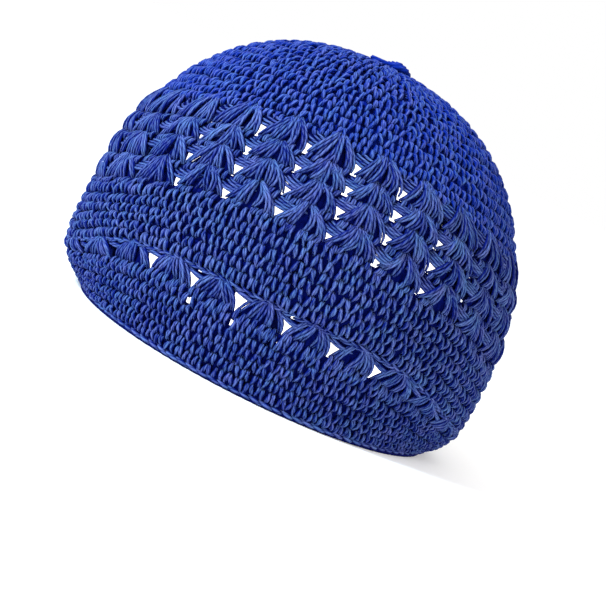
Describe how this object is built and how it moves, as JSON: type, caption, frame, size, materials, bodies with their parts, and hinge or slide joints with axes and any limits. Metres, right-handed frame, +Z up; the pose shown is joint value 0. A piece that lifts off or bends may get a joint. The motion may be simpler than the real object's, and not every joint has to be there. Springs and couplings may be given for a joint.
{
  "type": "crocheted prayer cap",
  "caption": "Rounded close-fitting cap of blue crocheted yarn with rows of open shells, a turned-in plain brim and a small knot on top.",
  "frame": {"origin": "middle of the cap's outer box in plan, on the plane that the hem stands on", "axes": "+Z up through the crown, +X along the longer axis of the oval to the wearer's end, +Y away from the side in the picture"},
  "size_m": [0.2161, 0.1695, 0.165],
  "materials": {
    "top_button_yarn": "thick plied cotton yarn, royal blue, dull",
    "crown_yarn": "plain single crochet in plied cotton yarn, royal blue, dull",
    "lace_band_yarn": "crocheted shells in plied cotton yarn, royal blue, dull",
    "side_band_yarn": "plain single crochet in plied cotton yarn, cobalt blue, dull",
    "brim_lace_yarn": "open crocheted fans in plied cotton yarn, cobalt blue, dull",
    "brim_band_yarn": "plain single crochet in plied cotton yarn, cobalt blue, dull",
    "hem_edging_yarn": "slip-stitched edge in plied cotton yarn, deep blue, dull"
  },
  "bodies": {
    "root": {"top_button": "top_button_yarn", "crown": "crown_yarn", "lace_band": "lace_band_yarn", "side_band": "side_band_yarn", "brim_lace": "brim_lace_yarn", "brim_band": "brim_band_yarn", "hem_edging": "hem_edging_yarn"}
  },
  "joints": []
}
